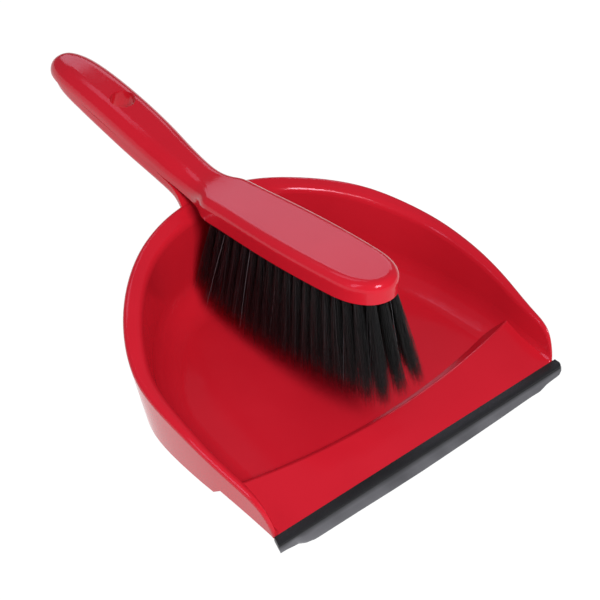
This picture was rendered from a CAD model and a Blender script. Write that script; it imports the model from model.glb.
import bpy
import math
import random
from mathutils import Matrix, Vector


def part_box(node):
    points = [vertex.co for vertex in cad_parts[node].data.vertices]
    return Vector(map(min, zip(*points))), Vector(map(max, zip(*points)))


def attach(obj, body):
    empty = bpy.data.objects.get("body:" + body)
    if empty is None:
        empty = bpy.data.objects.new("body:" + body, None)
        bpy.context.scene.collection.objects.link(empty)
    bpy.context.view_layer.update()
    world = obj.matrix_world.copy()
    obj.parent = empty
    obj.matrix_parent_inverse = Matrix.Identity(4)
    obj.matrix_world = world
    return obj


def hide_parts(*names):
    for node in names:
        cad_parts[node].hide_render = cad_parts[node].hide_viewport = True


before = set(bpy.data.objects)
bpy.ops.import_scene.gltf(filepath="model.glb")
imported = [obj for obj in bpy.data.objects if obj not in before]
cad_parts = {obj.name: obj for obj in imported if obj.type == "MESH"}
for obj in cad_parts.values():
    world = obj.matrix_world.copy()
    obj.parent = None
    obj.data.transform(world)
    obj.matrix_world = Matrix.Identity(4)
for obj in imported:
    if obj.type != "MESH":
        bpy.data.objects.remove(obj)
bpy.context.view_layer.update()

MM = 0.001

# ---- Studio ---------------------------------------------------------------
# A white table and soft boxes overhead, seen from the front left by a long lens,
# as small goods are usually shown.
scene = bpy.context.scene
scene.view_settings.view_transform = "Standard"

LOOK_FROM = (-40.83, 41.0)
LOOK_AT = Vector((16.55, 24.05, 18.8)) * MM
CAMERA_REACH = 1221.0 * MM
LENS_ANGLE = math.radians(16.0)
PAN_MIDDLE = Vector((0.0, 0.025, 0.03))
# The side and back boxes and the room are a little bluer than the main box.
COOL = (0.82, 0.84, 1.0)
ROOM_COLOUR = (0.84, 0.88, 1.0, 1.0)
ROOM_STRENGTH = 0.24
TABLE_HALF = 6.0
TABLE_DROP = 0.3 * MM

azimuth, elevation = (math.radians(angle) for angle in LOOK_FROM)
towards_camera = Vector((
    math.sin(azimuth) * math.cos(elevation),
    -math.cos(azimuth) * math.cos(elevation),
    math.sin(elevation),
))
camera = bpy.data.objects.new("camera", bpy.data.cameras.new("camera"))
scene.collection.objects.link(camera)
camera.location = LOOK_AT + towards_camera * CAMERA_REACH
camera.rotation_euler = (-towards_camera).to_track_quat("-Z", "Y").to_euler()
camera.data.sensor_width = 36.0
camera.data.lens = 18.0 / math.tan(LENS_ANGLE / 2)
camera.data.clip_start = 0.01
scene.camera = camera


def soft_box(name, place, size, power, tint=(1.0, 1.0, 1.0)):
    """A square studio light at place, turned to the middle of the pan."""
    lamp = bpy.data.lights.new(name, "AREA")
    lamp.shape = "RECTANGLE"
    lamp.size, lamp.size_y = size
    lamp.energy = power
    lamp.color = tint
    box = bpy.data.objects.new(name, lamp)
    box.location = place
    box.rotation_euler = (PAN_MIDDLE - Vector(place)).to_track_quat("-Z", "Y").to_euler()
    scene.collection.objects.link(box)


soft_box("key_box", (-0.35, -1.05, 1.15), (0.5, 0.5), 21.0)
soft_box("left_box", (-1.25, 0.15, 0.85), (0.3, 0.9), 3.5, COOL)
soft_box("back_box", (0.66, 0.98, 0.62), (0.95, 0.34), 2.0, COOL)
soft_box("top_box", (0.05, 0.78, 1.1), (0.55, 0.35), 1.2, COOL)
room = bpy.data.worlds.new("studio")
room.use_nodes = True
room.node_tree.nodes["Background"].inputs["Color"].default_value = ROOM_COLOUR
room.node_tree.nodes["Background"].inputs["Strength"].default_value = ROOM_STRENGTH
scene.world = room


class Wire:
    """One output of a finish's nodes, so that masks add and multiply like numbers."""

    def __init__(self, finish, socket):
        self.finish = finish
        self.socket = socket

    def maths(self, operation, first, second):
        return self.finish.add("ShaderNodeMath", {"operation": operation}, {0: first, 1: second})

    def __add__(self, other):
        return self.maths("ADD", self, other)

    def __radd__(self, other):
        return self.maths("ADD", other, self)

    def __sub__(self, other):
        return self.maths("SUBTRACT", self, other)

    def __rsub__(self, other):
        return self.maths("SUBTRACT", other, self)

    def __mul__(self, other):
        return self.maths("MULTIPLY", self, other)

    def __rmul__(self, other):
        return self.maths("MULTIPLY", other, self)


class Finish:
    """A surface finish: one Principled shader, its plain values, and the nodes that vary them."""

    def __init__(self, name, constants):
        self.material = bpy.data.materials.new(name)
        self.material.use_nodes = True
        self.tree = self.material.node_tree
        self.shader = self.tree.nodes["Principled BSDF"]
        for socket, value in constants.items():
            self.shader.inputs[socket].default_value = value

    def add(self, kind, settings=None, inputs=None, output=0):
        node = self.tree.nodes.new(kind)
        for name, value in (settings or {}).items():
            setattr(node, name, value)
        for socket, value in (inputs or {}).items():
            if isinstance(value, Wire):
                self.tree.links.new(value.socket, node.inputs[socket])
            else:
                node.inputs[socket].default_value = value
        return Wire(self, node.outputs[output])

    def feed(self, socket, wire):
        self.tree.links.new(wire.socket, self.shader.inputs[socket])

    def place(self, stretch=(1.0, 1.0, 1.0)):
        """The point on the object in metres, stretched along its axes."""
        point = self.add("ShaderNodeTexCoord", output="Object")
        return self.add("ShaderNodeVectorMath", {"operation": "MULTIPLY"}, {0: point, 1: stretch})

    def speckle(self, scale, detail=2.0, stretch=(1.0, 1.0, 1.0), roughness=0.5):
        """Noise from 0 to 1 with scale blobs to the metre."""
        wanted = {"Vector": self.place(stretch), "Scale": scale, "Detail": detail, "Roughness": roughness}
        return self.add("ShaderNodeTexNoise", inputs=wanted)

    def mask(self, wire, low, high):
        """0 below low, 1 above high."""
        wanted = {"Value": wire, "From Min": low, "From Max": high}
        return self.add("ShaderNodeMapRange", {"clamp": True}, wanted)

    def blend(self, factor, first, second):
        return self.add(
            "ShaderNodeMix",
            {"data_type": "RGBA"},
            {"Factor": factor, 6: (*first, 1.0), 7: (*second, 1.0)},
            output=2,
        )

    def bumps(self, height, depth):
        """Raises the surface by depth metres times height."""
        return self.add("ShaderNodeBump", inputs={"Height": height, "Distance": depth, "Strength": 1.0})


def paint(piece, finish):
    """Gives the whole piece one finish."""
    piece.data.materials.clear()
    piece.data.materials.append(finish.material)


def shade_smooth(piece, angle=32.0):
    """Smooth shading with the moulding's true corners kept."""
    bpy.ops.object.select_all(action="DESELECT")
    piece.select_set(True)
    bpy.context.view_layer.objects.active = piece
    bpy.ops.object.shade_smooth_by_angle(angle=math.radians(angle))


# The table lies just under the pan's base, and glows enough to stay white in the shade.
corners = [(x * TABLE_HALF, y * TABLE_HALF, 0.0) for x, y in ((-1, -1), (1, -1), (1, 1), (-1, 1))]
table = bpy.data.meshes.new("table")
table.from_pydata(corners, [], [(0, 1, 2, 3)])
table_top = bpy.data.objects.new("table", table)
table_top.location.z = -TABLE_DROP
scene.collection.objects.link(table_top)
white = Finish("white_table", {
    "Base Color": (0.05, 0.05, 0.05, 1.0),
    "Roughness": 0.8,
    "Specular IOR Level": 0.0,
    "Emission Color": (1.0, 1.0, 1.0, 1.0),
    "Emission Strength": 1.0,
})
paint(table_top, white)

# ---- Dustpan moulding -------------------------------------------------------
# Tray, ramp, double-skinned rim and handle, injection moulded in one piece of glossy
# red polypropylene. The tool's polish leaves a faint orange peel; use leaves hairlines.
RED = (0.61, 0.013, 0.026)
DEEP_RED = (0.55, 0.010, 0.021)
SKIN_DEPTH = 0.012 * MM


def red_plastic(name, drag):
    """Glossy moulded red. drag stretches the hairlines, and is least along the way they run."""
    finish = Finish(name, {
        "Roughness": 0.15,
        "IOR": 1.49,
        "Specular IOR Level": 0.34,
        "Specular Tint": (1.0, 0.55, 0.70, 1.0),
    })
    cloud = finish.mask(finish.speckle(14.0, detail=3.0), 0.3, 0.7)
    finish.feed("Base Color", finish.blend(cloud, RED, DEEP_RED))
    hairline = finish.mask(finish.speckle(30.0, 3.0, stretch=drag, roughness=0.7), 0.6, 0.75)
    smear = finish.mask(finish.speckle(45.0, 3.0), 0.35, 0.75)
    finish.feed("Roughness", 0.11 + 0.05 * smear + 0.06 * hairline)
    peel = finish.speckle(420.0, 1.0)
    grain = finish.speckle(5200.0, 1.0)
    height = peel * 0.8 + grain * 0.12 - hairline * 0.25
    finish.feed("Normal", finish.bumps(height, SKIN_DEPTH))
    return finish


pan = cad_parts["dustpan_body"]
shade_smooth(pan)
paint(pan, red_plastic("pan_red", (60.0, 1.5, 8.0)))

# ---- Rubber lip ---------------------------------------------------------------
# Soft black extrusion pushed over the pan's front tongue: a flat band flush with the
# ramp, then a thin blade that droops to the floor and has taken a slight wave at its ends.
lip_low, lip_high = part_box("rubber_lip")
LIP_RUNS = 260
BAND_REACH = 6.2 * MM
# Millimetres that the blade reaches in front of the red edge, at shares of the strip's
# length from its left end. It is worn back towards both ends.
BLADE_REACH = [
    (0.0, 9.2), (0.03, 9.6), (0.055, 9.9), (0.075, 12.2), (0.10, 13.2), (0.24, 13.3), (0.36, 13.6),
    (0.46, 13.6), (0.60, 13.0), (0.74, 12.2), (0.85, 11.3), (0.89, 11.4), (0.92, 10.1), (0.95, 9.4),
    (0.975, 9.0), (0.99, 7.4), (1.0, 5.2),
]
# The ends have tired: past this share of the half length they lift and wave.
TIRED_FROM = 0.7
FLOOR_GAP = 0.1
TIRED_LIFT = 0.35
WAVE_LIFT = 0.3
WAVE_TURNS = 90.0
# The strip was cut askew, so that its left end stands out past the red edge.
ASKEW = 0.36
RUBBER_BLACK = (0.011, 0.011, 0.012)
RUBBER_DUST = (0.15, 0.147, 0.155)


def between(stops, share):
    """The value at share on a line through stops of (share, value)."""
    for (start, low), (stop, high) in zip(stops, stops[1:]):
        if share <= stop:
            return low + (high - low) * (share - start) / (stop - start)
    return stops[-1][1]


def lip_section(share):
    """The strip's closed outline (length, height) at share from 0, left end, to 1, right end."""
    reach = between(BLADE_REACH, share) * MM
    band = min(BAND_REACH, reach - 0.9 * MM)
    tired = max(0.0, abs(2 * share - 1) - TIRED_FROM) / (1.0 - TIRED_FROM)
    wave = TIRED_LIFT + WAVE_LIFT * math.sin(share * WAVE_TURNS)
    lift = (FLOOR_GAP + tired * wave) * MM
    top = lip_high.z
    back = lip_high.y
    shoulder = (top - 1.2 * MM + lift) / 2
    middle = (band + reach) / 2
    outline = [
        (0.0, top - 0.15 * MM),
        (3.0 * MM, top),
        (band - 0.9 * MM, top),
        (band - 0.15 * MM, top - 0.25 * MM),
        (band, top - 0.8 * MM),
        (band + 0.4 * MM, top - 1.15 * MM),
        (middle, shoulder + 0.45 * MM),
        (reach - 0.4 * MM, 0.75 * MM + lift),
        (reach, 0.4 * MM + lift),
        (reach - 0.3 * MM, 0.05 * MM + lift),
        (middle, shoulder - 0.45 * MM),
        (band, 0.5 * MM),
        (3.0 * MM, 0.35 * MM),
        (0.0, 0.3 * MM),
    ]
    return [(back - ahead, height) for ahead, height in outline]


def lofted(name, rings):
    """A closed skin over rings of points that all have the same number of points."""
    count = len(rings[0])
    points = [point for ring in rings for point in ring]
    faces = []
    for ring in range(len(rings) - 1):
        for step in range(count):
            a = ring * count + step
            b = ring * count + (step + 1) % count
            faces.append((a, b, b + count, a + count))
    faces.append(tuple(reversed(range(count))))
    faces.append(tuple(range((len(rings) - 1) * count, len(rings) * count)))
    mesh = bpy.data.meshes.new(name)
    mesh.from_pydata(points, [], faces)
    mesh.validate()
    piece = bpy.data.objects.new(name, mesh)
    scene.collection.objects.link(piece)
    return piece


lip_rings = []
for run in range(LIP_RUNS + 1):
    share = run / LIP_RUNS
    x = lip_low.x + (lip_high.x - lip_low.x) * share
    askew = ASKEW * (1.0 - share)
    lip_rings.append([(x - askew * (lip_high.y - y), y, z) for y, z in lip_section(share)])
lip = lofted("lip_strip", lip_rings)
shade_smooth(lip, 50.0)
rubber = Finish("lip_rubber", {"Roughness": 0.5, "IOR": 1.5, "Specular IOR Level": 0.45})
bloom = rubber.mask(rubber.speckle(70.0, 4.0), 0.35, 0.75)
above_floor = rubber.add("ShaderNodeSeparateXYZ", inputs={0: rubber.place()}, output=2)
blade = 1.0 - rubber.mask(above_floor, 1.7 * MM, 2.3 * MM)
dust = blade * (0.55 + 0.45 * rubber.mask(rubber.speckle(28.0, 3.0), 0.35, 0.65))
rubber.feed("Base Color", rubber.blend(dust, RUBBER_BLACK, RUBBER_DUST))
draw_lines = rubber.speckle(40.0, 2.0, stretch=(1.0, 60.0, 60.0))
rubber.feed("Roughness", 0.42 + 0.16 * bloom)
rubber.feed("Normal", rubber.bumps(draw_lines + rubber.speckle(3000.0) * 0.3, 0.05 * MM))
paint(lip, rubber)
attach(lip, "pan")
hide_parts("rubber_lip")

# ---- Brush stock -----------------------------------------------------------------
# Head and handle moulded in one piece of the same red, its underside drilled for the
# tufts. It lies over the pan's handle, with the hanging holes in line.
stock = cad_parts["brush_stock"]
shade_smooth(stock)
paint(stock, red_plastic("brush_red", (8.0, 1.5, 60.0)))

# ---- Bristles ----------------------------------------------------------------------
# Soft black filaments with frayed ends, folded over a wire anchor and punched into each
# hole, so that every tuft leaves its hole as a tight bundle and spreads to its tip.
# Strands in each tuft: black ones, and a few more that dust has greyed.
FILAMENTS = 230
GREYED = 9
FILAMENT_THICK = 0.17 * MM
FILAMENT_TAPER = 0.55
ROOT_SPREAD = 1.75 * MM
# Spread of a tuft's tips in the last row, and the share of it that the first row has.
TIP_SPREAD = 5.4 * MM
FRONT_SPREAD = 0.8
# The share of its length that a tuft keeps at both ends of the head, and how much less
# it keeps in the middle, where it wears most.
LENGTH_LEFT = 0.975
MIDDLE_WEAR = 0.05
SHORTEST_CUT = 0.08
BOW = 1.1 * MM
CURL = 1.3 * MM
STEPS = 6
SIDES = 3
BLACK, GREY, PALE = range(3)
# How much further than its tuft a strand of each shade strays.
WILDNESS = (1.0, 1.15, 1.9)
JET = (0.0045, 0.0045, 0.005)
WORN_BLACK = (0.014, 0.013, 0.014)


def tuft_ends(node):
    """(root, tip) of every tuft solid in a CAD row, read from the row's loose parts."""
    mesh = node.data
    group = list(range(len(mesh.vertices)))

    def head(index):
        while group[index] != index:
            group[index] = group[group[index]]
            index = group[index]
        return index

    for edge in mesh.edges:
        group[head(edge.vertices[0])] = head(edge.vertices[1])
    # Corners less than a micrometre apart belong to one solid.
    places = {}
    for index, vertex in enumerate(mesh.vertices):
        key = tuple(round(value * 1e6) for value in vertex.co)
        places.setdefault(key, []).append(index)
    for same in places.values():
        for other in same[1:]:
            group[head(other)] = head(same[0])
    parts = {}
    for vertex in mesh.vertices:
        parts.setdefault(head(vertex.index), []).append(vertex.co.copy())
    ends = []
    for points in parts.values():
        middle = (max(p.z for p in points) + min(p.z for p in points)) / 2
        upper = [p for p in points if p.z > middle]
        lower = [p for p in points if p.z <= middle]
        above = sum(upper, Vector()) / len(upper)
        below = sum(lower, Vector()) / len(lower)
        along = (below - above).normalized()
        reaches = [(p - above).dot(along) for p in points]
        ends.append((above + along * min(reaches), above + along * max(reaches)))
    return sorted(ends, key=lambda pair: pair[0].x)


def disc(chance, radius):
    """A random level offset within radius."""
    angle = chance.uniform(0, math.tau)
    reach = radius * math.sqrt(chance.random())
    return Vector((math.cos(angle) * reach, math.sin(angle) * reach, 0.0))


def filament(points, faces, path):
    """Adds one thin tapering strand along path."""
    start = len(points)
    for step, centre in enumerate(path[:-1]):
        share = step / (len(path) - 1)
        radius = FILAMENT_THICK * (1.0 - FILAMENT_TAPER * share) / 2
        for side in range(SIDES):
            angle = math.tau * side / SIDES
            points.append(centre + Vector((math.cos(angle), math.sin(angle), 0.0)) * radius)
    points.append(path[-1])
    last = len(points) - 1
    rings = len(path) - 1
    for ring in range(rings - 1):
        for side in range(SIDES):
            a = start + ring * SIDES + side
            b = start + ring * SIDES + (side + 1) % SIDES
            faces.append((a, b, b + SIDES, a + SIDES))
    for side in range(SIDES):
        a = start + (rings - 1) * SIDES + side
        b = start + (rings - 1) * SIDES + (side + 1) % SIDES
        faces.append((a, b, last))


def strand_path(chance, root, tip, spread):
    """A strand from root to tip that bows a little and ends a little short."""
    near = disc(chance, 1.0)
    start = root + near * ROOT_SPREAD
    end = tip + near * spread * 0.6 + disc(chance, spread * 0.8)
    shorter = 1.0 - SHORTEST_CUT * chance.random() ** 2
    end = start + (end - start) * shorter
    bow = disc(chance, BOW)
    curl = disc(chance, CURL)
    path = []
    for step in range(STEPS + 1):
        share = step / STEPS
        side = bow * math.sin(math.pi * share) + curl * share ** 3
        path.append(start.lerp(end, share) + side)
    return path


def row_strands(chance, ends, spread, worn, has_strays):
    """One row's points and faces, and the number of each face's finish."""
    points, faces, shades = [], [], []

    def grow(shade, root, tip):
        path = strand_path(chance, root, root.lerp(tip, worn), spread * WILDNESS[shade])
        filament(points, faces, path)
        shades.extend([shade] * (len(faces) - len(shades)))

    for root, tip in ends:
        for _ in range(FILAMENTS):
            grow(BLACK, root, tip)
        for _ in range(GREYED):
            grow(GREY, root, tip)
    if has_strays:
        for root, tip in (ends[0], ends[-1]):
            grow(PALE, root, tip)
    return points, faces, shades


black = Finish("bristle_black", {"Roughness": 0.38, "IOR": 1.5, "Specular IOR Level": 0.5})
strand = black.speckle(900.0, 1.0, stretch=(1.0, 1.0, 0.05))
black.feed("Base Color", black.blend(black.mask(strand, 0.45, 0.75), JET, WORN_BLACK))
black.feed("Roughness", 0.34 + 0.2 * strand)
grey = Finish("bristle_grey", {"Base Color": (0.055, 0.052, 0.056, 1.0), "Roughness": 0.35})
pale = Finish("bristle_pale", {"Base Color": (0.30, 0.28, 0.30, 1.0), "Roughness": 0.4})

rows = sorted(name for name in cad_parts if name.startswith("tuft_row_"))
for number, name in enumerate(rows):
    share = number / (len(rows) - 1)
    spread = TIP_SPREAD * (FRONT_SPREAD + (1.0 - FRONT_SPREAD) * share)
    worn = LENGTH_LEFT - MIDDLE_WEAR * math.sin(math.pi * share)
    ends = tuft_ends(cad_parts[name])
    # Two rows in three have a pale stray in each of their outer tufts.
    has_strays = number % 3 != 1
    points, faces, shades = row_strands(random.Random(100 + number), ends, spread, worn, has_strays)
    mesh = bpy.data.meshes.new(name + "_bristles")
    mesh.from_pydata(points, [], faces)
    for finish in (black, grey, pale):
        mesh.materials.append(finish.material)
    mesh.polygons.foreach_set("use_smooth", [True] * len(faces))
    mesh.polygons.foreach_set("material_index", shades)
    piece = bpy.data.objects.new(name + "_bristles", mesh)
    scene.collection.objects.link(piece)
    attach(piece, "brush")
    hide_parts(name)

# ---- Wire anchors -----------------------------------------------------------------
# Short lengths of flat tinned wire, one driven across the bottom of each hole to pin
# its folded tuft. They stay out of sight in the stock.
wire = Finish("anchor_wire", {"Base Color": (0.55, 0.54, 0.52, 1.0), "Metallic": 1.0, "Roughness": 0.35})
wire.feed("Roughness", 0.3 + 0.2 * wire.speckle(2500.0, 2.0, stretch=(0.1, 1.0, 1.0)))
for name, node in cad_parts.items():
    if name.startswith("staple_row_"):
        paint(node, wire)
